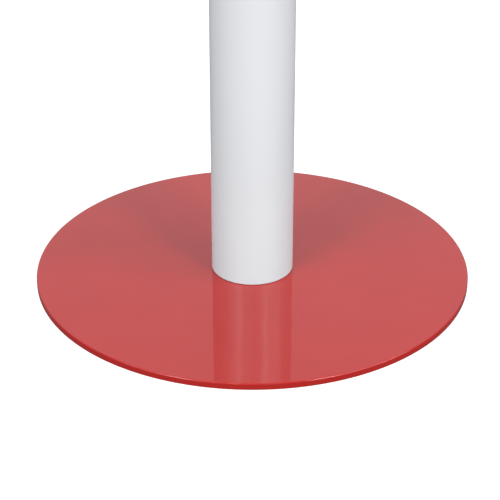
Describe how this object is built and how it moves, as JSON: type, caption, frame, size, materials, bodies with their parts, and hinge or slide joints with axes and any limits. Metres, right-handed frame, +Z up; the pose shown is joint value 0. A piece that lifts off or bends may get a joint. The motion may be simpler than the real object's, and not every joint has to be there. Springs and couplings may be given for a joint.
{
  "type": "chain stanchion",
  "caption": "Freestanding chain post: white round tube on a flat red steel disc, with red reflective bands and a turning red head whose open hooks take plastic barrier chain.",
  "frame": {"origin": "on the floor, under the axis of the tube", "axes": "+Z up along the tube; +X through hook 1 and +Y through hook 2; the head at rest"},
  "size_m": [0.32, 0.32, 0.9997],
  "materials": {
    "plate_red": "gloss powder coat",
    "tube_white": "satin rigid plastic tube",
    "band_red": "smooth retroreflective film",
    "head_red": "moulded, satin to gloss",
    "foot_rubber": "matt self-adhesive pad",
    "ring_black": "smooth seal rubber",
    "zinc_steel": "bright zinc plated",
    "plug_grey": "moulded"
  },
  "bodies": {
    "post": {"rubber_foot_1": "foot_rubber", "rubber_foot_2": "foot_rubber", "rubber_foot_3": "foot_rubber", "rubber_foot_4": "foot_rubber", "rubber_foot_5": "foot_rubber", "rubber_foot_6": "foot_rubber", "base_plate": "plate_red", "foot_bolt": "zinc_steel", "foot_nut": "zinc_steel", "foot_plug": "plug_grey", "post_tube": "tube_white", "red_band_1": "band_red", "red_band_2": "band_red", "red_band_3": "band_red"},
    "head": {"head_core": "head_red", "head_o_ring": "ring_black", "c_hook_1": "head_red", "c_hook_2": "head_red", "c_hook_3": "head_red", "c_hook_4": "head_red", "dome_cap": "head_red", "cap_screw": "zinc_steel"}
  },
  "joints": [
    {"name": "head_turn", "type": "hinge", "parent": "post", "child": "head", "pos_m": [0, 0, 0.95], "axis": [0, 0, 1], "continuous": true}
  ]
}
